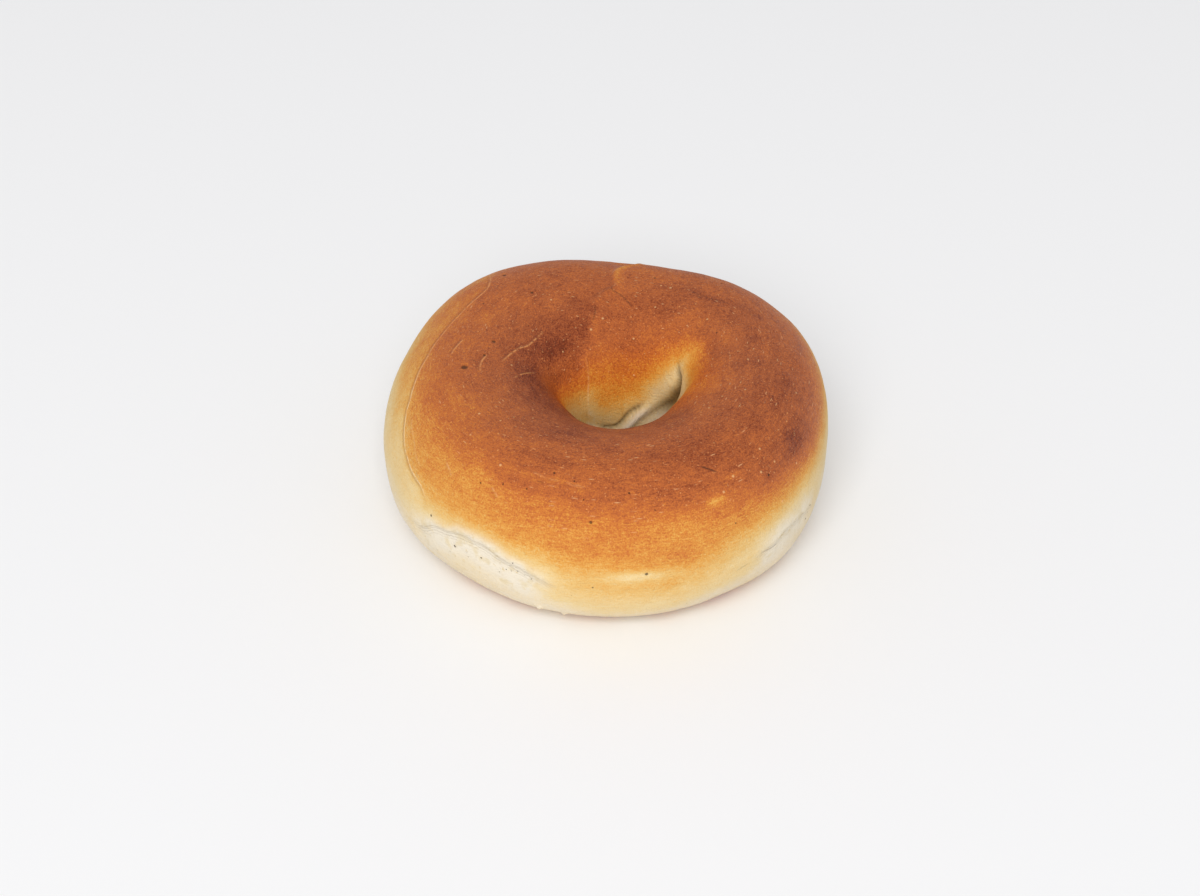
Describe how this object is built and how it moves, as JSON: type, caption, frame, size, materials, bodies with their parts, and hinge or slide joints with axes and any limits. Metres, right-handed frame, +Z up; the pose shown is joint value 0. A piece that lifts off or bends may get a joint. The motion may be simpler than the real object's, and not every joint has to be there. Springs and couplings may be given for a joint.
{
  "type": "bagel",
  "caption": "Plain baked bagel: a plump browned ring of bread with a central hole, a pale waistline and a flat underside.",
  "frame": {"origin": "middle of the flat base, on the surface that the bagel rests on", "axes": "+Z up through the hole; +X to the right and +Y away as the bagel is seen from its front, with the join of the dough at the back (+Y)"},
  "size_m": [0.11, 0.1132, 0.0428],
  "materials": {
    "crust": "satin"
  },
  "bodies": {
    "root": {"bagel": "crust"}
  },
  "joints": []
}
